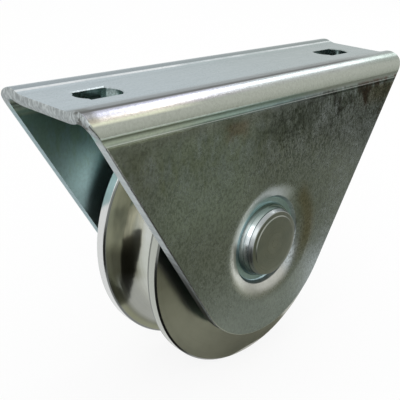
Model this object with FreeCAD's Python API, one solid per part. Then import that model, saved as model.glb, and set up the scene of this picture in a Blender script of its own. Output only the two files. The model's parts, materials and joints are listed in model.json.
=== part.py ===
import FreeCAD, Part
import math
import os

# A grooved gate wheel that turns on a ball bearing in a folded steel bracket.
# Millimetres. The origin is the middle of the web's top face, +X runs along
# the web, +Y along the axle towards the rear wall, and +Z is up.

# Bracket: one sheet folded into a web and two tapered walls
SHEET = 3.0
BRACKET_LENGTH = 129.0
BRACKET_WIDTH = 37.5         # over the outer faces of the walls
AXLE_DROP = 48.2             # web's top face down to the axle
TIP_R = 29.2                 # rounded foot of each wall, about the axle
TAPER_DROP = 1.4             # web's top face down to the start of the slanted edge
TAPER_ROUND = 4.0            # corner between the end face and the slanted edge
EDGE_ROUND = 0.4             # die roll along the outer edges of the sheet

# Bends: each forms a shoulder proud of the web, and ends in the line that the press left
BEND_R = 5.5                 # outer radius
SHOULDER_RISE = 0.9
VALLEY_R = 6.0               # hollow between web and shoulder
PRESS_LINE_DROP = 5.7        # web's top face down to the line
PRESS_LINE_R = 3.0
PRESS_LINE_DEPTH = 0.16

# Fixing slots in the web
SLOT_LENGTH = 13.2
SLOT_WIDTH = 8.4
SLOT_SIDE = 10.2             # length of the straight sides, which end in square corners
SLOT_SPACING = 97.0
SLOT_CHAMFER = 0.3

# Dish: the wall dips around the axle, and a steeper recess in the dip takes the pin's head
DISH_R = 19.4                # where the wall starts to dip
DISH_DIP = 1.5               # depth at the lip of the recess
LIP_R = 13.75
LIP_ROUND = 0.5
RECESS_DEPTH = 1.5           # lip to the floor
RECESS_TAPER = 0.75          # floor narrower than the lip, on each side
BOSS_MARGIN = 0.4            # inner face of the dish beyond the recess, on each side
BOSS_ROUND = 0.8

# Axle pin, riveted over at both ends on conical washers that lie in the recesses
HEAD_DIAMETER = 20.5
HEAD_PROUD = 1.5             # face of the head beyond the wall
HEAD_CROWN_DIAMETER = 19.4   # where the conical side of the head ends
HEAD_FLAT_DIAMETER = 16.5
HEAD_STEP = 0.25             # small bevelled step around the flat
HEAD_BEVEL = 0.1             # drop of the shallow bevel beyond the step
HEAD_ROUND = 0.25
HEAD_CHAMFER = 0.25
WASHER_DIAMETER = 22.8
WASHER_TOP_DIAMETER = 20.6
WASHER_HEIGHT = 2.75
WASHER_RIM = 0.5             # height of the straight rim below the cone
WASHER_STEP = 0.15           # small step halfway up the cone
PIN_CLEARANCE = 0.02         # around the pin, in the walls, washers, spacers and bearing

# Wheel
WHEEL_DIAMETER = 80.0
WHEEL_WIDTH = 25.0
RIM_CHAMFER = 0.5
GROOVE_WIDTH = 18.0
GROOVE_DEPTH = 10.0
GROOVE_LEAN = 12.0           # degrees of each flank from the wheel's plane
GROOVE_CHAMFER = 0.4         # broken edge between each flank and the rim
SEAT_LIP = 2.5               # height of the shoulder that stops the outer ring
BORE_CHAMFER = 0.5

# Ball bearing
BEARING_BORE = 15.0
BEARING_OUTER = 35.0
BEARING_WIDTH = 11.0
RING_CHAMFER = 0.4
RING_GAP = 4.0               # radial space between the two rings
BALL_DIAMETER = 5.95
BALL_COUNT = 8
RACE_CLEARANCE = 0.1
SHIELD_SHEET = 0.4
SHIELD_INSET = 0.6           # end of the ring to the shield
SHIELD_GRIP = 0.5            # shield's edge in the groove of the outer ring
SHIELD_GAP = 0.3             # shield to the inner ring

# Riveted ball cage
CAGE_SHEET = 0.5
CAGE_WIDTH = 2.2             # radial width of the ribbon
POCKET_CLEARANCE = 0.15
RIVET_DIAMETER = 0.9
RIVET_HEAD_DIAMETER = 1.5
RIVET_HEAD_HEIGHT = 0.3

# Retaining ring behind the bearing, in a groove of the wheel's bore
CLIP_SHEET = 1.5
CLIP_GROOVE_DEPTH = 1.0
CLIP_RADIAL = 3.2            # radial width opposite the gap
CLIP_THINNING = 0.8          # how much narrower the ring gets towards its gap
CLIP_GAP = 9.0               # clear opening between the ends
LUG_DIAMETER = 4.4
LUG_HOLE = 2.0

# Spacers between the dishes and the bearing
SPACER_WALL = 2.7

# Closeness that counts as touching, when edges are picked
TOUCH = 0.003

# Worked out from the sizes above
HALF_LENGTH = BRACKET_LENGTH / 2
HALF_WIDTH = BRACKET_WIDTH / 2
AXLE = FreeCAD.Vector(0, 0, -AXLE_DROP)
ALONG_X = FreeCAD.Vector(1, 0, 0)
ALONG_Y = FreeCAD.Vector(0, 1, 0)
ALONG_Z = FreeCAD.Vector(0, 0, 1)
ORIGIN = FreeCAD.Vector(0, 0, 0)
PIN_R = BEARING_BORE / 2 - PIN_CLEARANCE
HEAD_R = HEAD_DIAMETER / 2
RECESS_R = LIP_R - RECESS_TAPER
RECESS_FLOOR = HALF_WIDTH - DISH_DIP - RECESS_DEPTH
BOSS_FACE = RECESS_FLOOR - SHEET
PITCH_R = (BEARING_BORE + BEARING_OUTER) / 4
BALL_R = BALL_DIAMETER / 2
RACE_R = BALL_R + RACE_CLEARANCE
INNER_SHOULDER_R = PITCH_R - RING_GAP / 2
OUTER_SHOULDER_R = PITCH_R + RING_GAP / 2
HALF_BEARING = BEARING_WIDTH / 2
SHIELD_FACE = HALF_BEARING - SHIELD_INSET


def arc_edge(place, centre, radius, start, end):
    """Arc about a 2-D centre between two angles in degrees."""
    def spot(angle):
        turn = math.radians(angle)
        return place(centre[0] + radius * math.cos(turn), centre[1] + radius * math.sin(turn))
    return Part.Arc(spot(start), spot((start + end) / 2), spot(end)).toShape()


def line_edge(place, start, end):
    return Part.LineSegment(place(*start), place(*end)).toShape()


def face_of(edges):
    return Part.Face(Part.Wire(Part.sortEdges(edges)[0]))


def beside_axle(radius, along):
    """Point at a radius from the axle and a distance along it."""
    return FreeCAD.Vector(radius, along, -AXLE_DROP)


def chain(corners):
    """Straight edges from corner to corner, each given as (radius, along)."""
    return [line_edge(beside_axle, a, b) for a, b in zip(corners, corners[1:])]


def turned(edges):
    """Solid of revolution about the axle."""
    return face_of(edges).revolve(AXLE, ALONG_Y, 360)


def turned_outline(points):
    """Solid of revolution from the corners of its half section, as (radius, along)."""
    return turned(chain(points + points[:1]))


def tube(inner_r, outer_r, start, end):
    return turned_outline([(inner_r, start), (outer_r, start), (outer_r, end), (inner_r, end)])


def circle_at(shape, radius, along):
    """Circular edge of a turned shape, at a radius and a distance along the axle."""
    spot = Part.Vertex(beside_axle(radius, along))
    return next(edge for edge in shape.Edges if edge.isClosed() and edge.distToShape(spot)[0] < TOUCH)


def around_axle(shape, turn):
    """Copy turned about the axle by an angle in degrees."""
    return shape.rotated(AXLE, ALONG_Y, turn)


def other_side(shape):
    """Copy mirrored across the wheel's middle plane."""
    return shape.mirror(ORIGIN, ALONG_Y)


# Bracket

def end_plane(y, z):
    return FreeCAD.Vector(-HALF_LENGTH, y, z)


def sheet_skin(depth):
    """Rear half of the folded section, at a depth below the outer surface of the sheet."""
    rise = math.degrees(math.acos(1 - SHOULDER_RISE / (VALLEY_R + BEND_R)))
    bend = (HALF_WIDTH - BEND_R, SHOULDER_RISE - BEND_R)
    valley = (bend[0] - (VALLEY_R + BEND_R) * math.sin(math.radians(rise)), VALLEY_R)
    wall = HALF_WIDTH - depth
    return [
        line_edge(end_plane, (0, -depth), (valley[0], -depth)),
        arc_edge(end_plane, valley, VALLEY_R + depth, -90, rise - 90),
        arc_edge(end_plane, bend, BEND_R - depth, rise + 90, 0),
        line_edge(end_plane, (wall, bend[1]), (wall, -AXLE_DROP - TIP_R)),
    ]


def folded_sheet():
    """The sheet folded to its section, as long as the bracket and not yet tapered."""
    foot = -AXLE_DROP - TIP_R
    edges = sheet_skin(0) + sheet_skin(SHEET)
    edges.append(line_edge(end_plane, (HALF_WIDTH, foot), (HALF_WIDTH - SHEET, foot)))
    edges += [other_side(edge) for edge in edges]
    return face_of(edges).extrude(ALONG_X * BRACKET_LENGTH)


def side_outline():
    """Side view of the bracket as a block: square ends, slanted edges and a round foot."""
    def place(x, z):
        return FreeCAD.Vector(x, -BRACKET_WIDTH, z)
    corner = (HALF_LENGTH, AXLE_DROP - TAPER_DROP)
    bearing = math.degrees(math.atan2(corner[1], corner[0]))
    tangent = bearing - math.degrees(math.acos(TIP_R / math.hypot(*corner)))
    slant = math.radians(tangent)
    touch = (TIP_R * math.cos(slant), TIP_R * math.sin(slant) - AXLE_DROP)
    cut_back = TAPER_ROUND * math.tan(math.radians(-tangent) / 2)
    round_centre = (HALF_LENGTH - TAPER_ROUND, cut_back - TAPER_DROP)
    leave = (round_centre[0] + TAPER_ROUND * math.cos(slant),
             round_centre[1] + TAPER_ROUND * math.sin(slant))
    top = 2 * SHOULDER_RISE
    half = [
        line_edge(place, (0, top), (HALF_LENGTH, top)),
        line_edge(place, (HALF_LENGTH, top), (HALF_LENGTH, round_centre[1])),
        arc_edge(place, round_centre, TAPER_ROUND, 0, tangent),
        line_edge(place, leave, touch),
        arc_edge(place, (0, -AXLE_DROP), TIP_R, tangent, -90),
    ]
    edges = half + [edge.mirror(ORIGIN, ALONG_X) for edge in half]
    return face_of(edges).extrude(ALONG_Y * 2 * BRACKET_WIDTH)


def with_die_roll(blank):
    """Round the outer edges of the sheet all the way along its outline."""
    half_skin = Part.Wire(Part.sortEdges(sheet_skin(0))[0]).extrude(ALONG_X * BRACKET_LENGTH)
    skin = Part.Compound([half_skin, other_side(half_skin)])
    rim = []
    for edge in blank.Edges:
        halfway = (edge.FirstParameter + edge.LastParameter) / 2
        on_skin = skin.distToShape(Part.Vertex(edge.valueAt(halfway)))[0] < TOUCH
        straight = edge.Curve.TypeId == "Part::GeomLine"
        follows_fold = straight and abs(edge.tangentAt(halfway).x) > 1 - TOUCH
        if on_skin and not follows_fold:
            rim.append(edge)
    return blank.makeFillet(EDGE_ROUND, rim)


def slot(x):
    """Cutter for one fixing slot, long along X: round ends with straight, square-cornered sides."""
    end_r = SLOT_WIDTH / 2
    reach = (SLOT_LENGTH - SLOT_WIDTH) / 2
    depth = 3 * SHEET
    foot = FreeCAD.Vector(x, 0, -2 * SHEET)
    sides = Part.makeBox(SLOT_SIDE, SLOT_WIDTH, depth)
    sides.translate(foot - FreeCAD.Vector(SLOT_SIDE / 2, end_r, 0))
    ends = [Part.makeCylinder(end_r, depth, foot + ALONG_X * along) for along in (-reach, reach)]
    return sides.fuse(ends).removeSplitter()


def with_slots(sheet):
    """Cut both slots and break their upper edges."""
    sheet = sheet.cut([slot(-SLOT_SPACING / 2), slot(SLOT_SPACING / 2)])
    reach = (SLOT_SPACING + SLOT_LENGTH) / 2 + TOUCH
    rim = []
    for edge in sheet.Edges:
        box = edge.BoundBox
        level = abs(box.ZMin) < TOUCH and abs(box.ZMax) < TOUCH
        in_slot = max(abs(box.YMin), abs(box.YMax)) < SLOT_WIDTH / 2 + TOUCH
        if level and in_slot and max(abs(box.XMin), abs(box.XMax)) < reach:
            rim.append(edge)
    return sheet.makeChamfer(SLOT_CHAMFER, rim)


def press_line():
    """Cutter for the shallow line below the rear bend."""
    out = HALF_WIDTH - PRESS_LINE_DEPTH + PRESS_LINE_R
    start = end_plane(out, -PRESS_LINE_DROP)
    return Part.makeCylinder(PRESS_LINE_R, BRACKET_LENGTH, start, ALONG_X)


def dish():
    """The pressed part of the front wall, as a ring around the pin's hole."""
    run = DISH_R - LIP_R
    bow_r = (run ** 2 + DISH_DIP ** 2) / (2 * DISH_DIP)
    turn = math.degrees(math.asin(run / bow_r))
    bow_centre = (DISH_R, bow_r - HALF_WIDTH)
    inner_bow = arc_edge(beside_axle, bow_centre, bow_r - SHEET, -90, -90 - turn)
    lip = (LIP_R, DISH_DIP - HALF_WIDTH)
    foot = (RECESS_R, -RECESS_FLOOR)
    boss = (RECESS_R + BOSS_MARGIN, -BOSS_FACE)
    hole_r = BEARING_BORE / 2
    edges = chain([lip, foot, (hole_r, -RECESS_FLOOR), (hole_r, -BOSS_FACE), boss])
    edges += chain([(DISH_R, SHEET - HALF_WIDTH), (DISH_R, -HALF_WIDTH)])
    edges.append(arc_edge(beside_axle, bow_centre, bow_r, -90, -90 - turn))
    edges.append(inner_bow)
    slope = Part.LineSegment(beside_axle(*boss), inner_bow.valueAt(inner_bow.LastParameter))
    ring = turned(edges + [slope.toShape()])
    ring = ring.makeFillet(LIP_ROUND, [circle_at(ring, *lip), circle_at(ring, *foot)])
    return ring.makeFillet(BOSS_ROUND, [circle_at(ring, *boss)])


def bracket():
    body = with_die_roll(folded_sheet().common(side_outline()))
    body = with_slots(body)
    body = body.cut([press_line(), other_side(press_line())])
    front_dish = dish()
    knock_out = Part.makeCylinder(DISH_R, 2 * BRACKET_WIDTH, AXLE - ALONG_Y * BRACKET_WIDTH, ALONG_Y)
    body = body.cut(knock_out)
    return body.fuse([front_dish, other_side(front_dish)]).removeSplitter()


# Axle

def axle_pin():
    """Pin whose two riveted heads lie on the washers, a little proud of the walls."""
    seat = RECESS_FLOOR + WASHER_HEIGHT
    head_face = HALF_WIDTH + HEAD_PROUD
    step_foot = head_face - HEAD_STEP
    crown = (HEAD_CROWN_DIAMETER / 2, step_foot - HEAD_BEVEL)
    flat_r = HEAD_FLAT_DIAMETER / 2
    half = chain([
        (PIN_R, 0),
        (PIN_R, seat),
        (HEAD_R - HEAD_CHAMFER, seat),
        (HEAD_R, seat + HEAD_CHAMFER),
        crown,
        (flat_r + HEAD_STEP, step_foot),
        (flat_r, head_face),
        (0, head_face),
    ])
    core = chain([(0, -head_face), (0, head_face)])
    pin = turned(half + [other_side(edge) for edge in half] + core)
    return pin.makeFillet(HEAD_ROUND, [circle_at(pin, crown[0], side * crown[1]) for side in (-1, 1)])


def rear_washer():
    """Conical washer with a low rim and a small step halfway up."""
    foot_r = WASHER_DIAMETER / 2
    top_r = WASHER_TOP_DIAMETER / 2
    cone_start = RECESS_FLOOR + WASHER_RIM
    end = RECESS_FLOOR + WASHER_HEIGHT
    step_r = (foot_r + top_r) / 2
    step_at = (cone_start + end) / 2
    return turned_outline([
        (BEARING_BORE / 2, RECESS_FLOOR),
        (foot_r, RECESS_FLOOR),
        (foot_r, cone_start),
        (step_r + WASHER_STEP / 2, step_at),
        (step_r - WASHER_STEP / 2, step_at),
        (top_r, end),
        (BEARING_BORE / 2, end),
    ])


def rear_spacer():
    return tube(BEARING_BORE / 2, BEARING_BORE / 2 + SPACER_WALL, HALF_BEARING, BOSS_FACE)


# Wheel

def grooved_wheel():
    """Wheel with a round groove in its rim and a stepped bore for the bearing."""
    rim_r = WHEEL_DIAMETER / 2
    face = WHEEL_WIDTH / 2
    lip = GROOVE_WIDTH / 2
    lean = math.radians(GROOVE_LEAN)
    groove_r = (lip * math.cos(lean) - GROOVE_DEPTH * math.sin(lean)) / (1 - math.sin(lean))
    centre = (rim_r - GROOVE_DEPTH + groove_r, 0)
    meet = (centre[0] - groove_r * math.sin(lean), groove_r * math.cos(lean))
    rim_half = chain([
        (rim_r - RIM_CHAMFER, face),
        (rim_r, face - RIM_CHAMFER),
        (rim_r, lip + GROOVE_CHAMFER),
        (rim_r - GROOVE_CHAMFER, lip - GROOVE_CHAMFER * math.tan(lean)),
        meet,
    ])
    rim_half.append(arc_edge(beside_axle, centre, groove_r, 90 + GROOVE_LEAN, 180))
    seat_r = BEARING_OUTER / 2
    clip_r = seat_r + CLIP_GROOVE_DEPTH
    clip_end = HALF_BEARING + CLIP_SHEET
    bore = [
        (rim_r - RIM_CHAMFER, face),
        (seat_r + BORE_CHAMFER, face),
        (seat_r, face - BORE_CHAMFER),
        (seat_r, clip_end),
        (clip_r, clip_end),
        (clip_r, HALF_BEARING),
        (seat_r, HALF_BEARING),
        (seat_r, -HALF_BEARING),
        (seat_r - SEAT_LIP, -HALF_BEARING),
        (seat_r - SEAT_LIP, BORE_CHAMFER - face),
        (seat_r - SEAT_LIP + BORE_CHAMFER, -face),
        (rim_r - RIM_CHAMFER, -face),
    ]
    return turned(rim_half + [other_side(edge) for edge in rim_half] + chain(bore))


def retaining_ring():
    """Open spring ring, its gap at the top and widest opposite it, with a holed lug at each end."""
    start = HALF_BEARING
    outer_r = BEARING_OUTER / 2 + CLIP_GROOVE_DEPTH
    ring = Part.makeCylinder(outer_r, CLIP_SHEET, AXLE + ALONG_Y * start, ALONG_Y)
    inner_r = outer_r - CLIP_RADIAL + CLIP_THINNING / 2
    inner_centre = AXLE + ALONG_Y * start + ALONG_Z * CLIP_THINNING / 2
    ring = ring.cut(Part.makeCylinder(inner_r, CLIP_SHEET, inner_centre, ALONG_Y))
    gap = Part.makeBox(CLIP_GAP, CLIP_SHEET, outer_r)
    gap.translate(AXLE + FreeCAD.Vector(-CLIP_GAP / 2, start, 0))
    ring = ring.cut(gap)
    lug_r = LUG_DIAMETER / 2
    lug_reach = BEARING_OUTER / 2 - lug_r
    lug_x = CLIP_GAP / 2 + lug_r
    lug_z = math.sqrt(lug_reach ** 2 - lug_x ** 2)
    for side in (-1, 1):
        spot = AXLE + FreeCAD.Vector(side * lug_x, start, lug_z)
        ring = ring.fuse(Part.makeCylinder(lug_r, CLIP_SHEET, spot, ALONG_Y))
        ring = ring.cut(Part.makeCylinder(LUG_HOLE / 2, CLIP_SHEET, spot, ALONG_Y))
    return ring.removeSplitter()


# Ball bearing

def race_half_width(shoulder_r):
    """Half the width of a raceway where it meets its ring's shoulder."""
    return math.sqrt(RACE_R ** 2 - (PITCH_R - shoulder_r) ** 2)


def ring_with_race(half_outline, shoulder_r, towards_axle):
    """Bearing ring from its rear half outline, which starts where the raceway ends."""
    edge = math.degrees(math.asin(race_half_width(shoulder_r) / RACE_R))
    middle = 180 if towards_axle else 0
    race = arc_edge(beside_axle, (PITCH_R, 0), RACE_R, middle - edge, middle + edge)
    front = [(radius, -along) for radius, along in reversed(half_outline)]
    return turned([race] + chain(half_outline + front))


def inner_ring():
    bore_r = BEARING_BORE / 2
    half_outline = [
        (INNER_SHOULDER_R, race_half_width(INNER_SHOULDER_R)),
        (INNER_SHOULDER_R, HALF_BEARING),
        (bore_r + RING_CHAMFER, HALF_BEARING),
        (bore_r, HALF_BEARING - RING_CHAMFER),
    ]
    return ring_with_race(half_outline, INNER_SHOULDER_R, True)


def outer_ring():
    outer_r = BEARING_OUTER / 2
    lip_r = OUTER_SHOULDER_R + SHIELD_GRIP / 2
    groove_r = OUTER_SHOULDER_R + SHIELD_GRIP
    half_outline = [
        (OUTER_SHOULDER_R, race_half_width(OUTER_SHOULDER_R)),
        (OUTER_SHOULDER_R, SHIELD_FACE - SHIELD_SHEET),
        (groove_r, SHIELD_FACE - SHIELD_SHEET),
        (groove_r, SHIELD_FACE),
        (lip_r, SHIELD_FACE),
        (lip_r, HALF_BEARING),
        (outer_r - RING_CHAMFER, HALF_BEARING),
        (outer_r, HALF_BEARING - RING_CHAMFER),
    ]
    return ring_with_race(half_outline, OUTER_SHOULDER_R, False)


def rear_shield():
    """Thin cover that snaps into the outer ring and stays clear of the inner one."""
    inner_r = INNER_SHOULDER_R + SHIELD_GAP
    return tube(inner_r, OUTER_SHOULDER_R + SHIELD_GRIP, SHIELD_FACE - SHIELD_SHEET, SHIELD_FACE)


def ball_spots():
    """Centres of the balls, evenly spaced on the pitch circle."""
    step = 360 / BALL_COUNT
    first = AXLE + ALONG_X * PITCH_R
    return [around_axle(Part.Vertex(first), step * index).Point for index in range(BALL_COUNT)]


def rivet_spots():
    """Places of the cage's rivets, midway between the balls."""
    half_step = 180 / BALL_COUNT
    return [around_axle(Part.Vertex(spot), half_step).Point for spot in ball_spots()]


def cage_half():
    """Rear half of the pressed cage: a flat ribbon that arches over each ball."""
    inner_r = PITCH_R - CAGE_WIDTH / 2
    outer_r = PITCH_R + CAGE_WIDTH / 2
    pocket_r = BALL_R + POCKET_CLEARANCE
    arch_r = pocket_r + CAGE_SHEET
    ribbon = tube(inner_r, outer_r, 0, CAGE_SHEET)
    band = tube(inner_r, outer_r, 0, arch_r)
    arches = [band.common(Part.makeSphere(arch_r, spot)) for spot in ball_spots()]
    pockets = [Part.makeSphere(pocket_r, spot) for spot in ball_spots()]
    hole_r = RIVET_DIAMETER / 2
    rivet_holes = [Part.makeCylinder(hole_r, CAGE_SHEET, spot, ALONG_Y) for spot in rivet_spots()]
    return ribbon.fuse(arches).removeSplitter().cut(pockets + rivet_holes)


def cage_rivets():
    """The small rivets that hold the two halves of the cage together, one between each two balls."""
    rivets = []
    for spot in rivet_spots():
        front = spot - ALONG_Y * CAGE_SHEET
        rear = spot + ALONG_Y * CAGE_SHEET
        shank = Part.makeCylinder(RIVET_DIAMETER / 2, 2 * CAGE_SHEET, front, ALONG_Y)
        head = Part.makeCylinder(RIVET_HEAD_DIAMETER / 2, RIVET_HEAD_HEIGHT, rear, ALONG_Y)
        rivets.append(shank.fuse([head, other_side(head)]).removeSplitter())
    return Part.Compound(rivets)


def balls():
    return [Part.makeSphere(BALL_R, spot, ALONG_Y) for spot in ball_spots()]


def all_parts():
    parts = {
        "bracket": bracket(),
        "axle_pin": axle_pin(),
        "front_washer": other_side(rear_washer()),
        "rear_washer": rear_washer(),
        "front_spacer": other_side(rear_spacer()),
        "rear_spacer": rear_spacer(),
        "grooved_wheel": grooved_wheel(),
        "retaining_ring": retaining_ring(),
        "inner_ring": inner_ring(),
        "outer_ring": outer_ring(),
        "front_shield": other_side(rear_shield()),
        "rear_shield": rear_shield(),
        "front_cage_half": other_side(cage_half()),
        "rear_cage_half": cage_half(),
        "cage_rivets": cage_rivets(),
    }
    for index, ball in enumerate(balls(), start=1):
        parts[f"ball_{index}"] = ball
    return parts


os.makedirs("parts", exist_ok=True)
for name, shape in all_parts().items():
    shape.exportStep(f"parts/{name}.step")
    print(f"{name}: {len(shape.Solids)} solid, {shape.Volume / 1000:.3f} cm3, valid {shape.isValid()}")
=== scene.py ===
"""A grooved gate wheel in its zinc-plated bracket, on a white studio floor."""

import json
import math
from types import SimpleNamespace

import bpy
from mathutils import Matrix, Vector

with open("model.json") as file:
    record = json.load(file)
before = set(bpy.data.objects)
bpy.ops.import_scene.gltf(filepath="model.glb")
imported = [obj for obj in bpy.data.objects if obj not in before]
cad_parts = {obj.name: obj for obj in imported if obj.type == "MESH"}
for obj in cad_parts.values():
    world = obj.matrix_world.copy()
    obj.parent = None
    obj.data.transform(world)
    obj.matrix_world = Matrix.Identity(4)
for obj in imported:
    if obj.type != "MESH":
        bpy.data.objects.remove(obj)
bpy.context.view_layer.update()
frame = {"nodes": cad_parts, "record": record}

# Sizes of the part, in millimetres from the middle of the web's top face. The front wall faces
# -y, and the end of the bracket that the photo shows nearer is at -x.
AXLE_Z = -48.2
FLOOR_Z = -88.2
HALF_LENGTH = 64.5
HALF_WIDTH = 18.75
HEAD_RIM = 9.7
BEND_FOOT = -5.2
WALL_TOP = -6.2
LAND = (39.2, 39.8)  # radii over which the wheel's groove passes into a land

# Ranges of a noise: where most of it lies, a step into clouds and a step into patches
SPREAD = (0.3, 0.7)
CLOUDY = (0.35, 0.68)
PATCHY = (0.36, 0.52)

MM = 0.001


class Nodes:
    """A node tree, with short calls for the nodes that it needs."""

    def __init__(self, tree):
        self.tree = tree

    def node(self, kind, inputs=None, **settings):
        made = self.tree.nodes.new(kind)
        for name, value in settings.items():
            setattr(made, name, value)
        for socket, value in (inputs or {}).items():
            self.feed(made.inputs[socket], value)
        return made

    def feed(self, socket, value):
        """Link an output to a socket, or set a plain value on it."""
        if isinstance(value, bpy.types.NodeSocket):
            self.tree.links.new(value, socket)
        else:
            socket.default_value = value

    def math(self, operation, a, b=0.0):
        return self.node("ShaderNodeMath", {0: a, 1: b}, operation=operation).outputs[0]

    def fold(self, operation, first, *others):
        """One value from several, two at a time."""
        for other in others:
            first = self.math(operation, first, other)
        return first

    def product(self, *values):
        return self.fold("MULTIPLY", *values)

    def total(self, *values):
        return self.fold("ADD", *values)

    def most(self, *values):
        return self.fold("MAXIMUM", *values)

    def rest(self, mask):
        """What a mask leaves free."""
        return self.math("SUBTRACT", 1.0, mask)

    def apart(self, value, centre=0.0):
        """How far a value is from a centre, on either side."""
        if centre:
            value = self.math("SUBTRACT", value, centre)
        return self.math("ABSOLUTE", value)

    def span(self, value, low, high, start, end, **settings):
        """Straight map of a value from one range to another."""
        inputs = {"Value": value, "From Min": low, "From Max": high, "To Min": start, "To Max": end}
        return self.node("ShaderNodeMapRange", inputs, **settings).outputs["Result"]

    def smooth(self, value, low, high, start=0.0, end=1.0):
        """Soft step of a value between low and high."""
        return self.span(value, low, high, start, end, interpolation_type="SMOOTHSTEP")

    def band(self, value, start, full, fade, end):
        """Mask that rises from start to full, and falls from fade to end."""
        return self.product(self.smooth(value, start, full), self.smooth(value, end, fade))

    def colour(self, factor, a, b, blend="MIX"):
        """Colour a, covered with colour b by a factor."""
        settings = {"data_type": "RGBA", "blend_type": blend}
        return self.node("ShaderNodeMix", {0: factor, 6: a, 7: b}, **settings).outputs[2]

    def times(self, factor, a, b):
        """Colour a, multiplied with colour b by a factor."""
        return self.colour(factor, a, b, "MULTIPLY")

    def number(self, factor, a, b):
        """Number a, turned into number b by a factor."""
        return self.node("ShaderNodeMix", {0: factor, 2: a, 3: b}, data_type="FLOAT").outputs[0]

    def place(self):
        """Position on the part, in millimetres."""
        spot = self.node("ShaderNodeTexCoord").outputs["Object"]
        scaled = self.node("ShaderNodeVectorMath", {0: spot, "Scale": 1 / MM}, operation="SCALE")
        return scaled.outputs["Vector"]

    def facing(self):
        """Direction that the surface faces, on the part."""
        return self.node("ShaderNodeTexCoord").outputs["Normal"]

    def split(self, vector):
        return self.node("ShaderNodeSeparateXYZ", {0: vector}).outputs

    def vector(self, x, y, z):
        return self.node("ShaderNodeCombineXYZ", {0: x, 1: y, 2: z}).outputs[0]

    def noise(self, vector, scale, detail=2.0, roughness=0.5):
        inputs = {"Vector": vector, "Scale": scale, "Detail": detail, "Roughness": roughness}
        return self.node("ShaderNodeTexNoise", inputs).outputs["Fac"]

    def grained(self, vector, scales, detail, roughness):
        """Noise with its own scale along each axis."""
        inputs = {0: vector, 1: scales}
        drawn = self.node("ShaderNodeVectorMath", inputs, operation="MULTIPLY").outputs[0]
        return self.noise(drawn, 1.0, detail, roughness)

    def bump(self, height, depth, strength=1.0, below=None):
        """Normal of a relief with a depth in millimetres, laid over the relief below it."""
        inputs = {"Height": height, "Distance": depth * MM, "Strength": strength}
        if below is not None:
            inputs["Normal"] = below
        return self.node("ShaderNodeBump", inputs).outputs["Normal"]


class Shader(Nodes):
    """One material's node tree."""

    def __init__(self, name):
        self.material = bpy.data.materials.new(name)
        self.material.use_nodes = True
        super().__init__(self.material.node_tree)
        self.bsdf = self.tree.nodes["Principled BSDF"]
        self.output = self.tree.nodes["Material Output"]

    def set(self, **values):
        """Set or link sockets of the surface shader, with _ for each blank in a socket's name."""
        for name, value in values.items():
            self.feed(self.bsdf.inputs[name.replace("_", " ")], value)


def rgb(red, green, blue):
    return (red, green, blue, 1.0)


WHITE = rgb(1, 1, 1)


def axle_radius(s, spot):
    """Distance from the axle's middle line."""
    x, _, z = s.split(spot)
    drop = s.math("SUBTRACT", z, AXLE_Z)
    return s.math("SQRT", s.total(s.product(x, x), s.product(drop, drop)))


# Zinc-plated sheet, with places in millimetres. Tints that cover what lies below use colour, and
# tints that shade it use times.

def sheet_areas(s):
    """Places, directions, noises and areas of the sheet that its marks share."""
    a = SimpleNamespace()
    a.spot = s.place()
    a.x, a.y, a.z = s.split(a.spot)
    a.length, a.width = s.apart(a.x), s.apart(a.y)
    a.radius = axle_radius(s, a.spot)
    turn_x, turn_y, a.turn_z = s.split(s.facing())
    a.side = s.apart(turn_y)
    a.up = s.smooth(a.turn_z, 0.35, 0.95)
    a.below_bend = s.smooth(a.z, BEND_FOOT, WALL_TOP)
    a.above_wall = s.smooth(a.z, WALL_TOP, BEND_FOOT)

    a.clouds = s.noise(a.spot, 0.035, 4.0, 0.6)
    a.speck = s.noise(a.spot, 1.3, 2.0, 0.6)
    a.patches = s.grained(a.spot, (0.24, 0.24, 0.17), 5.0, 0.7)
    wall_grain = s.grained(a.spot, (2.2, 2.2, 0.9), 3.0, 0.6)
    web_grain = s.grained(a.spot, (0.09, 2.4, 2.4), 3.0, 0.6)
    a.grain = s.number(a.up, wall_grain, web_grain)
    across = s.grained(a.spot, (1.2, 0.25, 1.2), 3.0, 0.65)
    down = s.grained(a.spot, (1.5, 2.2, 0.45), 3.0, 0.7)
    a.tear = s.number(a.below_bend, down, across)

    at_end = s.smooth(a.length, HALF_LENGTH - 2.4, HALF_LENGTH - 1.0)
    end_face = s.product(at_end, s.smooth(s.apart(turn_x), 0.35, 0.75))
    a.sheared = s.product(s.smooth(a.side, 0.75, 0.3), s.most(a.below_bend, end_face))
    under_web = s.most(s.smooth(a.z, -2.0, -3.0), s.smooth(a.turn_z, -0.2, -0.6))
    a.inside = s.product(s.smooth(a.width, HALF_WIDTH - 1.5, HALF_WIDTH - 2.8), under_web)
    a.on_bend = s.product(s.smooth(a.side, 0.5, 0.85), a.above_wall, s.smooth(a.width, 9.0, 11.0))
    a.pressed = s.band(a.z, -7.2, -6.6, -4.8, -4.2)
    a.below_line = s.smooth(a.z, -7.2, -8.6)
    upper_wall = s.product(s.smooth(a.z, -34.0, -16.0), a.below_line)
    a.upper_right = s.product(s.smooth(a.x, -18.0, 8.0), upper_wall)

    # Painted shade: a dark, non-metallic band over the front hollow and the crest up to the bend's
    # highlight, fading towards the far end.
    hollow = s.most(s.smooth(a.y, -7.6, -10.4, 0.0, 0.65), s.smooth(a.y, -12.5, -14.2))
    hollow = s.product(hollow, s.smooth(a.y, -15.1, -14.5), s.smooth(a.turn_z, 0.72, 0.85))
    a.grime = s.product(hollow, s.smooth(a.x, 58.0, 30.0, 0.4, 1.0))
    a.right_side = s.math("SUBTRACT", a.x, s.product(s.apart(a.z, AXLE_Z), 0.5))
    # The dish rim carries a painted highlight, fading out to the right.
    dish_rim = s.product(s.band(a.radius, 13.2, 13.8, 15.6, 19.0), s.rest(a.inside))
    a.burnished = s.product(dish_rim, s.smooth(a.right_side, 6.0, 0.0))
    return a


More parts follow.
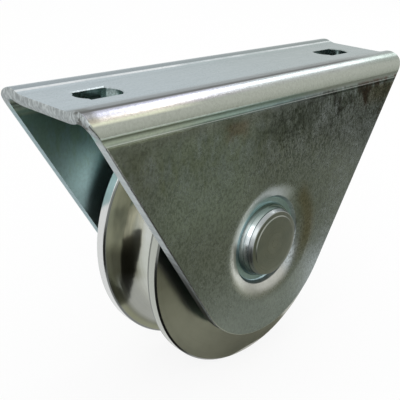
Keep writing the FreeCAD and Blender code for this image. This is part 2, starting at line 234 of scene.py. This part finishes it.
def plating(s, a):
    """Bluish walls and web, the web lighter as painted reflected light, painted shade on the rear
    shoulder behind a painted highlight on its crease, and teal insides as painted reflections.
    """
    clear = s.smooth(a.clouds, 0.36, 0.66)
    zinc = s.colour(clear, rgb(0.41, 0.455, 0.465), rgb(0.46, 0.505, 0.515))
    # Painted reflected light: the up-facing web is lighter and bluer than the walls, most at the
    # near end.
    along = s.smooth(a.x, -HALF_LENGTH, HALF_LENGTH)
    web = s.colour(along, rgb(0.53, 0.60, 0.64), rgb(0.42, 0.475, 0.455))
    zinc = s.colour(s.product(a.up, 0.85), zinc, web)
    # Painted shade on the rear shoulder.
    shoulder = s.band(a.y, 11.2, 11.6, 12.8, 14.2)
    zinc = s.times(s.product(shoulder, a.up), zinc, rgb(0.66, 0.66, 0.66))
    # Painted highlight: a pale cloudy line along the rear crease.
    crease = s.band(a.y, 10.4, 10.7, 11.2, 11.5)
    crease = s.product(crease, s.smooth(a.clouds, 0.4, 0.6, 0.2, 0.8))
    zinc = s.colour(s.product(crease, a.up), zinc, rgb(0.82, 0.84, 0.85))
    # Painted reflection: the insides and the slot walls are tinted teal.
    zinc = s.colour(a.inside, zinc, rgb(0.43, 0.58, 0.60))
    in_slot = s.product(s.smooth(a.width, 4.8, 4.4), s.smooth(a.turn_z, 0.5, 0.2))
    in_slot = s.product(in_slot, s.smooth(a.z, -2.9, -2.7))
    return s.colour(in_slot, zinc, rgb(0.34, 0.43, 0.43))


def bend_marks(s, a, zinc):
    """Bends beige as a painted reflection and darker low down as painted shade, a yellow painted
    highlight, a crown tinted and dimmed as painted highlight and shade, and painted shade at the
    near end and in the hollow.
    """
    # Painted reflection: the bends are beige, and darker where they turn upright as painted shade.
    zinc = s.colour(s.product(a.on_bend, 0.9), zinc, rgb(0.38, 0.40, 0.34))
    upright = s.smooth(a.turn_z, 0.5, 0.0)
    zinc = s.times(s.product(a.on_bend, upright), zinc, rgb(0.78, 0.8, 0.77))
    # Painted highlight: a yellow streak on the bend below the crown, towards the near end.
    gleam = s.product(s.smooth(a.turn_z, 0.48, 0.62), s.smooth(a.x, -27.0, -46.0))
    zinc = s.colour(s.product(gleam, a.on_bend), zinc, rgb(0.78, 0.80, 0.62))
    # Painted highlight and shade: the crown is tinted pink towards the near end and dimmed at the
    # far end.
    crown = s.product(s.smooth(a.turn_z, 0.6, 0.7), s.smooth(a.y, -13.5, -14.5))
    crown_tint = s.colour(s.smooth(a.x, 35.0, 60.0), rgb(1.0, 0.97, 0.98), rgb(0.86, 0.88, 0.84))
    crown_tint = s.colour(s.smooth(a.x, 0.0, -35.0), crown_tint, rgb(1.0, 0.9, 1.0))
    zinc = s.times(crown, zinc, crown_tint)
    # Painted shade on the bend next to the near end.
    bend_end = s.product(s.smooth(a.x, -60.2, -62.6), s.smooth(a.length, 64.4, 64.0))
    bend_end = s.product(bend_end, s.smooth(a.y, -9.0, -11.0), s.smooth(a.turn_z, 0.55, 0.75))
    zinc = s.times(bend_end, zinc, rgb(0.5, 0.5, 0.44))
    # Painted shade over the front hollow.
    return s.colour(a.grime, zinc, rgb(0.10, 0.104, 0.10))


def dish_marks(s, a, zinc):
    """Dishes: a painted highlight on the rim, brightest at the left, painted shade on the seat, and
    brown at the right.
    """
    # Painted highlight on the dish rim, palest at the left.
    rim_tint = s.colour(s.smooth(a.z, -62.0, -40.0), rgb(0.53, 0.535, 0.49), rgb(0.53, 0.575, 0.58))
    rim_tint = s.colour(s.smooth(a.x, -5.0, -14.0), rim_tint, rgb(0.92, 0.94, 0.88))
    zinc = s.colour(a.burnished, zinc, rim_tint)
    # Painted shade on the dish's seat around the head.
    seat = s.product(s.smooth(a.radius, 13.9, 13.4), s.rest(a.inside))
    zinc = s.times(seat, zinc, rgb(0.56, 0.6, 0.54))
    browned = s.product(s.band(a.radius, 14.0, 17.5, 18.5, 22.5), s.smooth(a.right_side, 3.0, 9.0))
    browned = s.product(browned, s.smooth(a.z, -62.0, -50.0))
    return s.times(browned, zinc, rgb(0.86, 0.74, 0.58))


def press_line(s, a, zinc):
    """Line that the press left below each bend: painted shade at its foot, and painted highlights
    along its edges and on the bend above it.
    """
    # Painted shade along the foot of the press line.
    low = s.total(a.z, s.smooth(a.x, 0.0, 25.0, 0.0, 0.5))
    on_line = s.product(s.smooth(low, -7.2, -6.6), s.smooth(a.z, -5.9, -6.45))
    on_line = s.product(on_line, s.smooth(a.x, -45.0, -28.0, 0.25, 1.0))
    line_tint = s.colour(s.smooth(a.x, 0.0, 45.0), rgb(0.36, 0.375, 0.345), rgb(0.38, 0.42, 0.37))
    zinc = s.times(on_line, zinc, line_tint)
    # Painted highlights along the line's edges, and on the bend just above it.
    top = s.product(s.band(a.z, -6.3, -5.7, -5.55, -4.85), s.smooth(a.x, 15.0, -40.0, 0.15, 0.65))
    foot = s.product(s.band(a.z, -7.8, -7.2, -7.0, -6.6), s.smooth(a.x, -30.0, -45.0, 0.0, 0.6))
    lighter = s.product(s.most(top, foot), s.smooth(a.side, 0.8, 0.95))
    zinc = s.colour(lighter, zinc, rgb(0.70, 0.77, 0.71))
    above = s.product(s.band(a.z, -4.95, -4.7, -4.5, -4.15), s.smooth(a.x, 12.0, -35.0))
    zinc = s.colour(s.product(above, a.on_bend), zinc, rgb(0.57, 0.63, 0.57))
    # Painted shade over the pressed band, away from the far end.
    band_tint = s.colour(s.smooth(a.x, -45.0, -20.0), rgb(0.94, 0.98, 0.92), rgb(0.78, 0.94, 0.96))
    return s.times(s.product(a.pressed, s.smooth(a.x, 25.0, 0.0)), zinc, band_tint)


def stains(s, a, zinc):
    """Stains that run down from the bends: rusty on the right, olive on the left."""
    streaks = s.grained(a.spot, (0.4, 0.4, 0.16), 4.0, 0.65)
    height = s.total(a.z, s.span(streaks, *SPREAD, -10.0, 10.0))
    reach = s.total(a.x, s.span(a.clouds, *SPREAD, -25.0, 25.0))
    short = s.math("SUBTRACT", height, s.smooth(a.x, 0.0, 30.0, 0.0, 6.0))
    rusty = s.product(s.smooth(short, -20.5, -13.5), a.below_bend, s.smooth(reach, -15.0, 25.0))
    brown = s.colour(s.smooth(a.x, 25.0, 55.0), rgb(0.23, 0.22, 0.19), rgb(0.30, 0.18, 0.12))
    rust = s.colour(s.smooth(a.patches, 0.40, 0.54), rgb(0.58, 0.60, 0.53), brown)
    zinc = s.times(rusty, zinc, rust)
    olive = s.product(s.smooth(height, -24.0, -9.0), a.below_bend, s.smooth(reach, 15.0, -25.0))
    return s.times(olive, zinc, rgb(0.9, 0.9, 0.76))


def wall_tones(s, a, zinc):
    """Lighter and darker areas of the walls; the lighter middle and upper right are painted
    reflected light.
    """
    blots = s.smooth(a.patches, *PATCHY)
    # Painted reflected light: the middle of the walls is lifted.
    middle = s.smooth(s.apart(a.x, -28.0), 26.0, 8.0)
    middle = s.product(middle, s.band(a.z, -45.0, -28.0, -12.0, -7.0))
    zinc = s.times(middle, zinc, rgb(1.18, 1.24, 1.22))
    soot = s.product(s.smooth(s.apart(a.x, 4.0), 17.0, 6.0), s.smooth(a.z, -21.0, -12.0))
    zinc = s.times(s.product(soot, a.below_line, blots), zinc, rgb(0.64, 0.66, 0.6))
    ruddy = s.smooth(s.apart(a.x, -18.0), 6.5, 2.0)
    ruddy = s.product(ruddy, s.band(a.z, -15.0, -11.0, -9.5, -7.5), blots)
    zinc = s.times(ruddy, zinc, rgb(0.94, 0.76, 0.70))
    # Painted reflected light on the upper right of the walls.
    lifted = s.product(a.upper_right, s.smooth(a.x, 42.0, 25.0))
    zinc = s.times(lifted, zinc, rgb(1.16, 1.15, 1.17))
    corner = s.product(s.smooth(a.x, 34.0, 50.0), s.smooth(a.z, -16.0, -11.0), a.below_line)
    return s.times(corner, zinc, rgb(0.72, 0.64, 0.48))


def grain_and_edge_highlights(s, a, zinc):
    """Dark grain and specks, coarsest on the upper right of the walls, and painted highlights along
    the walls' rounded edges.
    """
    rough_spots = s.product(a.upper_right, s.smooth(a.grain, 0.46, 0.6))
    zinc = s.times(rough_spots, zinc, rgb(0.78, 0.79, 0.75))
    plain = s.most(a.up, a.on_bend, a.inside, a.burnished, a.pressed)
    coarse = s.number(a.upper_right, s.smooth(a.z, -50.0, -70.0, 0.6, 0.3), 1.0)
    coarse = s.number(plain, coarse, 0.15)
    grains = s.product(s.smooth(a.grain, 0.4, 0.62), coarse)
    zinc = s.times(grains, zinc, rgb(0.6, 0.61, 0.58))
    specks = s.product(s.smooth(a.speck, 0.47, 0.62), coarse)
    zinc = s.times(specks, zinc, rgb(0.58, 0.58, 0.55))
    # Painted highlight: pale lines along the walls' rounded edges.
    painted_edge_light = s.product(s.band(a.side, 0.4, 0.65, 0.9, 0.985), a.below_bend)
    painted_edge_light = s.product(painted_edge_light, s.smooth(a.radius, 23.0, 25.0))
    return s.colour(painted_edge_light, zinc, rgb(0.94, 0.95, 0.91))


def cut_edges(s, a):
    """Sheared edges: bright on the walls, darker near their feet, and dull at the web's ends."""
    bright = s.colour(s.smooth(a.tear, 0.35, 0.7), rgb(0.46, 0.50, 0.505), rgb(0.62, 0.66, 0.665))
    bright = s.times(s.smooth(a.y, -1.0, 1.0), bright, rgb(0.68, 0.82, 0.84))
    darker_low = s.product(s.smooth(a.z, -42.0, -60.0), s.smooth(a.width, 18.2, 17.3))
    bright = s.times(darker_low, bright, rgb(0.3, 0.3, 0.27))
    dull = s.colour(s.smooth(a.tear, 0.4, 0.62), rgb(0.29, 0.315, 0.315), rgb(0.55, 0.59, 0.59))
    blots = s.smooth(s.noise(a.spot, 0.55, 3.0, 0.6), 0.45, 0.58)
    blotted = s.product(s.smooth(a.y, -11.0, -13.5), blots, 0.85)
    dull = s.colour(blotted, dull, rgb(0.09, 0.09, 0.075))
    return s.colour(a.below_bend, dull, bright)


def zinc_sheet():
    """Folded sheet: plating under its marks, torn where it is sheared."""
    s = Shader("zinc_sheet")
    a = sheet_areas(s)
    zinc = plating(s, a)
    for marks in (bend_marks, dish_marks, press_line, stains, wall_tones, grain_and_edge_highlights):
        zinc = marks(s, a, zinc)
    s.set(Base_Color=s.colour(a.sheared, zinc, cut_edges(s, a)))
    # Metal everywhere except the painted shade in the hollow.
    s.set(Specular_Tint=rgb(0.74, 0.77, 0.78), Metallic=s.rest(a.grime))

    mottle = s.noise(a.spot, 0.16, 5.0, 0.62)
    sheen = s.total(s.span(mottle, 0.3, 0.75, 0.17, 0.28), s.span(a.grain, 0.3, 0.75, -0.03, 0.06))
    sheen = s.total(sheen, s.product(s.total(a.burnished, a.inside), 0.13))
    sheen = s.total(sheen, s.product(a.grime, 0.4), s.product(a.pressed, 0.2))
    s.set(Roughness=s.number(a.sheared, sheen, s.span(a.tear, *SPREAD, 0.42, 0.58)))

    waves = s.bump(s.noise(a.spot, 0.05), 0.12)
    lines = s.bump(a.grain, 0.008, below=waves)
    rippled = s.product(s.smooth(a.side, 0.15, 0.4), a.above_wall)
    ripples = s.bump(a.speck, 0.02, rippled, lines)
    s.set(Normal=s.bump(s.number(a.sheared, a.speck, a.tear), 0.008, below=ripples))
    return s.material


# Turned and plain steel, with places in millimetres

def lathe_marks(s, spot):
    """Radius about the axle, place along it, what rings about it follow, and its fine rings."""
    radius, y = axle_radius(s, spot), s.split(spot)[1]
    rings = s.vector(radius, y, 0.0)
    return radius, y, rings, s.noise(rings, 5.0, 3.0, 0.7)


def groove_tint(s, spot, radius, y, clouds):
    """Groove: painted shade and reflection make the rear flank dark and the front light, with
    painted dark reflections towards the rear rim, olive streaks above and painted reflected light
    below.
    """
    height = s.split(spot)[2]
    # Painted shade and reflection: the rear flank is dark olive and the front flank light.
    groove = s.colour(s.smooth(y, 7.0, 2.0), rgb(0.27, 0.28, 0.21), rgb(0.58, 0.61, 0.60))
    # Painted reflection: a near-black patch in the groove towards the rear rim.
    painted_dark_patch = s.product(s.smooth(radius, 38.6, 37.4), s.smooth(y, 5.0, 7.0), 0.45)
    groove = s.colour(painted_dark_patch, groove, rgb(0.05, 0.05, 0.035))
    groove = s.times(s.smooth(clouds, *CLOUDY), groove, rgb(0.85, 0.84, 0.76))
    bands = s.smooth(s.grained(spot, (0.1, 0.6, 0.1), 2.0, 0.5), *SPREAD)
    olive_streaks = s.product(bands, s.smooth(y, 2.0, 5.0, 0.0, 0.7), s.smooth(height, -52.0, -46.0))
    groove = s.colour(olive_streaks, groove, rgb(0.44, 0.43, 0.31))
    # Painted reflection: a near-black band in the groove at the rear, just below the axle's height.
    painted_dark_band = s.product(s.smooth(y, 4.0, 6.0), s.smooth(height, -46.0, -51.0))
    painted_dark_band = s.product(painted_dark_band, s.smooth(height, -62.0, -56.0, 0.0, 0.5))
    groove = s.colour(painted_dark_band, groove, rgb(0.06, 0.055, 0.04))
    # Painted reflected light lower in the groove.
    painted_low_light = s.product(s.smooth(height, -56.0, -62.0, 0.0, 0.32), s.smooth(radius, 38.4, 36.0))
    return s.colour(painted_low_light, groove, rgb(0.70, 0.72, 0.72))


def wheel_steel():
    """Turned wheel: dull side faces, bright lands with dark edges, and the groove between them."""
    s = Shader("wheel_steel")
    spot = s.place()
    radius, y, rings, fine = lathe_marks(s, spot)
    side = s.smooth(s.apart(s.split(s.facing())[1]), 0.99, 0.999)
    around = s.rest(side)
    outermost = s.smooth(radius, *LAND)
    land = s.product(outermost, around)
    broad = s.noise(rings, 0.8)
    clouds = s.noise(spot, 0.06, 4.0, 0.6)

    dull = s.colour(s.smooth(clouds, *CLOUDY), rgb(0.38, 0.38, 0.34), rgb(0.46, 0.46, 0.41))
    lands = s.colour(s.smooth(y, -5.0, 5.0), rgb(0.42, 0.44, 0.40), rgb(0.64, 0.655, 0.65))
    tint = s.colour(side, groove_tint(s, spot, radius, y, clouds), dull)
    tint = s.colour(land, tint, lands)
    edge = s.product(s.band(radius, 39.3, 39.5, 39.85, 39.98), around)
    tint = s.colour(edge, tint, rgb(0.16, 0.17, 0.16))
    land_line = s.product(s.band(y, -10.0, -9.7, -9.0, -8.5), outermost, 0.75)
    tint = s.colour(land_line, tint, rgb(0.14, 0.15, 0.14))
    tint = s.times(s.smooth(fine, 0.4, 0.75, 0.0, 0.25), tint, rgb(0.7, 0.7, 0.68))
    s.set(Base_Color=tint, Metallic=1.0)
    shine = s.number(side, s.number(land, 0.13, 0.2), 0.22)
    s.set(Roughness=s.total(shine, s.span(fine, *SPREAD, -0.02, 0.05)))
    waves = s.bump(s.noise(spot, 0.12), 0.1)
    ridges = s.bump(broad, 0.006, below=waves)
    s.set(Normal=s.bump(fine, 0.003, below=ridges))
    return s.material


def turned_steel(name, light, dark, shine, rim=None):
    """Lathe-turned steel: fine rings about the axle, and another tint beyond a rim's radius."""
    s = Shader(name)
    spot = s.place()
    radius, _, rings, fine = lathe_marks(s, spot)
    broad = s.noise(rings, 0.7)
    clouds = s.noise(spot, 0.06, 4.0, 0.6)
    tint = s.colour(s.smooth(clouds, *CLOUDY), dark, light)
    if rim is not None:
        tint = s.colour(s.smooth(radius, rim - 0.1, rim + 0.1), tint, rgb(0.40, 0.43, 0.435))
    tint = s.times(s.smooth(fine, 0.4, 0.75, 0.0, 0.4), tint, rgb(0.6, 0.6, 0.58))
    s.set(Base_Color=tint, Metallic=1.0)
    rough = s.span(broad, *SPREAD, shine, shine + 0.1)
    s.set(Roughness=s.total(rough, s.span(fine, *SPREAD, -0.03, 0.05)))
    ridges = s.bump(broad, 0.01)
    s.set(Normal=s.bump(fine, 0.005, below=ridges))
    return s.material


def washer_steel():
    """Conical washer: turned stripes at the height of the axle, and dull teal above and below it as
    painted shade.
    """
    s = Shader("washer_steel")
    spot = s.place()
    height = s.split(spot)[2]
    _, _, rings, fine = lathe_marks(s, spot)
    stripes = s.noise(rings, 1.6, 2.0, 0.6)
    tint = s.colour(s.smooth(stripes, 0.42, 0.58), rgb(0.30, 0.36, 0.38), rgb(0.74, 0.80, 0.82))
    # Painted shade: dull and dark teal above and below the axle's height.
    tint = s.colour(s.smooth(height, -44.0, -37.0), tint, rgb(0.32, 0.40, 0.36))
    tint = s.colour(s.smooth(height, -47.0, -54.0), tint, rgb(0.20, 0.27, 0.28))
    tint = s.times(s.smooth(fine, 0.4, 0.75, 0.0, 0.4), tint, rgb(0.6, 0.6, 0.58))
    s.set(Base_Color=tint, Metallic=1.0, Roughness=s.span(fine, *SPREAD, 0.14, 0.24))
    ridges = s.bump(stripes, 0.02)
    s.set(Normal=s.bump(fine, 0.005, below=ridges))
    return s.material


def plain_steel(name, light, dark, shine):
    """Hidden steel: slightly uneven colour and sheen."""
    s = Shader(name)
    spot = s.place()
    clouds = s.noise(spot, 0.5, 4.0, 0.6)
    s.set(Base_Color=s.colour(s.smooth(clouds, *CLOUDY), dark, light), Metallic=1.0)
    s.set(Roughness=s.span(clouds, *SPREAD, shine, shine + 0.12))
    s.set(Normal=s.bump(s.noise(spot, 4.0), 0.004))
    return s.material


finishes = {
    "zinc_plated_sheet": zinc_sheet(),
    "turned_steel": wheel_steel(),
    "riveted_steel": turned_steel(
        "pin_steel", rgb(0.345, 0.355, 0.31), rgb(0.25, 0.275, 0.245), shine=0.26, rim=HEAD_RIM),
    "washer_steel": washer_steel(),
    "plain_steel": turned_steel(
        "spacer_steel", rgb(0.50, 0.50, 0.49), rgb(0.42, 0.42, 0.42), shine=0.3),
    "spring_steel": plain_steel(
        "spring_steel", rgb(0.10, 0.10, 0.11), rgb(0.06, 0.06, 0.07), shine=0.35),
    "bearing_steel": turned_steel(
        "bearing_steel", rgb(0.60, 0.61, 0.62), rgb(0.52, 0.53, 0.54), shine=0.15),
    "shield_steel": turned_steel(
        "shield_steel", rgb(0.55, 0.56, 0.57), rgb(0.47, 0.48, 0.49), shine=0.3),
    "cage_steel": plain_steel(
        "cage_steel", rgb(0.54, 0.53, 0.50), rgb(0.45, 0.44, 0.41), shine=0.3),
    "ball_steel": plain_steel(
        "ball_steel", rgb(0.72, 0.73, 0.74), rgb(0.66, 0.67, 0.68), shine=0.05),
}
for part in frame["record"]["subparts"]:
    node = frame["nodes"][part["node"]]
    node.material_slots[0].material = finishes[part["material_slot"]]


# Studio, in metres

def seen_directly(s):
    """1 for what the camera, a reflection or a view through glass sees."""
    path = s.node("ShaderNodeLightPath").outputs
    return s.most(path["Is Camera Ray"], path["Is Glossy Ray"], path["Is Transmission Ray"])


def white_world(strength):
    """White to look at and in reflections; its light on everything else is plain."""
    world = bpy.data.worlds.new("studio")
    bpy.context.scene.world = world
    world.use_nodes = True
    s = Nodes(world.node_tree)
    light = s.tree.nodes["Background"]
    s.feed(light.inputs["Color"], WHITE)
    s.feed(light.inputs["Strength"], strength)
    white = s.node("ShaderNodeBackground", {"Color": WHITE, "Strength": 1.0})
    shares = {0: seen_directly(s), 1: light.outputs[0], 2: white.outputs[0]}
    mixed = s.node("ShaderNodeMixShader", shares)
    s.feed(s.tree.nodes["World Output"].inputs["Surface"], mixed.outputs[0])


def flat_card(name, corners, height):
    """Level sheet of the studio, from its corners."""
    mesh = bpy.data.meshes.new(name)
    mesh.from_pydata([(x, y, height) for x, y in corners], [], [range(len(corners))])
    card = bpy.data.objects.new(name, mesh)
    bpy.context.scene.collection.objects.link(card)
    return card


def white_floor(half_size, shadow):
    """Floor that shows as white and keeps a share of the shadow that falls on it."""
    low, high = -half_size, half_size
    corners = [(low, low), (high, low), (high, high), (low, high)]
    floor = flat_card("floor", corners, FLOOR_Z * MM)
    s = Shader("floor_white")
    s.tree.nodes.remove(s.bsdf)
    shaded = s.node("ShaderNodeBsdfDiffuse", {"Color": rgb(0.95, 0.95, 0.95)})
    white = s.node("ShaderNodeEmission", {"Color": WHITE, "Strength": 1.0})
    share = s.product(seen_directly(s), 1 - shadow)
    mixed = s.node("ShaderNodeMixShader", {0: share, 1: shaded.outputs[0], 2: white.outputs[0]})
    s.feed(s.output.inputs["Surface"], mixed.outputs[0])
    floor.data.materials.append(s.material)


def dark_mat(lift):
    """Olive mat in front of the part, seen only in reflections, as photographers use for metal."""
    back = [(-0.32, -0.03), (-0.12, 0.0), (-0.02, -0.0127), (0.02, -0.0127), (0.035, -0.03)]
    right = [(0.066, -0.048), (0.104, -0.056), (0.2, -0.09), (0.62, -0.15)]
    front = [(0.62, -0.27), (0.02, -0.27), (-0.03, -0.10), (-0.32, -0.10)]
    mat = flat_card("dark_mat", back + right + front, FLOOR_Z * MM + lift)
    s = Shader("mat_olive")
    spot = s.place()
    x, y, _ = s.split(spot)
    uneven = s.span(s.noise(spot, 0.01), *SPREAD, -40.0, 40.0)
    far = s.smooth(s.total(x, uneven), 170.0, 290.0)
    tint = s.colour(far, rgb(0.18, 0.185, 0.12), rgb(0.075, 0.07, 0.05))
    tint = s.colour(s.smooth(y, -120.0, -190.0), tint, rgb(0.075, 0.08, 0.045))
    near = s.product(s.smooth(y, -75.0, -30.0), s.smooth(x, 120.0, 60.0))
    tint = s.colour(near, tint, rgb(0.42, 0.43, 0.35))
    slant = s.total(x, s.span(y, -140.0, -40.0, -35.0, 0.0))
    tint = s.colour(s.smooth(slant, -10.0, -32.0), tint, rgb(0.03, 0.03, 0.025))
    s.set(Base_Color=tint, Roughness=1.0)
    mat.data.materials.append(s.material)
    mat.visible_camera = False
    mat.visible_diffuse = False
    mat.visible_shadow = False
    mat.visible_transmission = False


def soft_box(name, location, aim, width, height, radiance):
    """Area lamp whose face has the given radiance."""
    lamp = bpy.data.lights.new(name, "AREA")
    lamp.shape = "RECTANGLE"
    lamp.size = width
    lamp.size_y = height
    lamp.energy = radiance * width * height * math.pi
    stand = bpy.data.objects.new(name, lamp)
    stand.location = location
    stand.rotation_euler = (Vector(aim) - Vector(location)).to_track_quat("-Z", "Y").to_euler()
    bpy.context.scene.collection.objects.link(stand)


def photo_camera():
    """Camera at the photograph's place: direction, roll, distance and framing."""
    azimuth, elevation, roll = (math.radians(a) for a in (48.398, 19.575, 3.169))
    distance, target = 0.219393, Vector((0, 0, -0.030))
    reach = math.cos(elevation)
    ahead = Vector((math.sin(azimuth) * reach, math.cos(azimuth) * reach, -math.sin(elevation)))
    level = Vector((math.cos(azimuth), -math.sin(azimuth), 0))
    up = level.cross(ahead)
    right = math.cos(roll) * level + math.sin(roll) * up
    top = math.cos(roll) * up - math.sin(roll) * level
    data = bpy.data.cameras.new("camera")
    data.sensor_width = 36.0
    data.lens = 65.381
    data.shift_x, data.shift_y = -0.0691, -0.0833
    data.clip_start = 0.01
    camera = bpy.data.objects.new("camera", data)
    turn = Matrix((right, top, -ahead)).transposed().to_4x4()
    camera.matrix_world = Matrix.Translation(target - ahead * distance) @ turn
    bpy.context.scene.collection.objects.link(camera)
    bpy.context.scene.camera = camera


bpy.context.scene.view_settings.view_transform = "Standard"
white_world(strength=0.9)
white_floor(half_size=20.0, shadow=0.13)
dark_mat(lift=0.001)
soft_box("key", (0.62, 0.015, 0.74), (0, 0, -0.03), width=0.57, height=0.17, radiance=2.2)
soft_box("strip", (0.79, 0.10, 0.58), (0, 0, -0.03), width=0.24, height=0.32, radiance=2.1)
soft_box("fill", (-0.65, -0.3, 0.46), (0, 0, -0.04), width=0.5, height=0.5, radiance=1.4)
photo_camera()
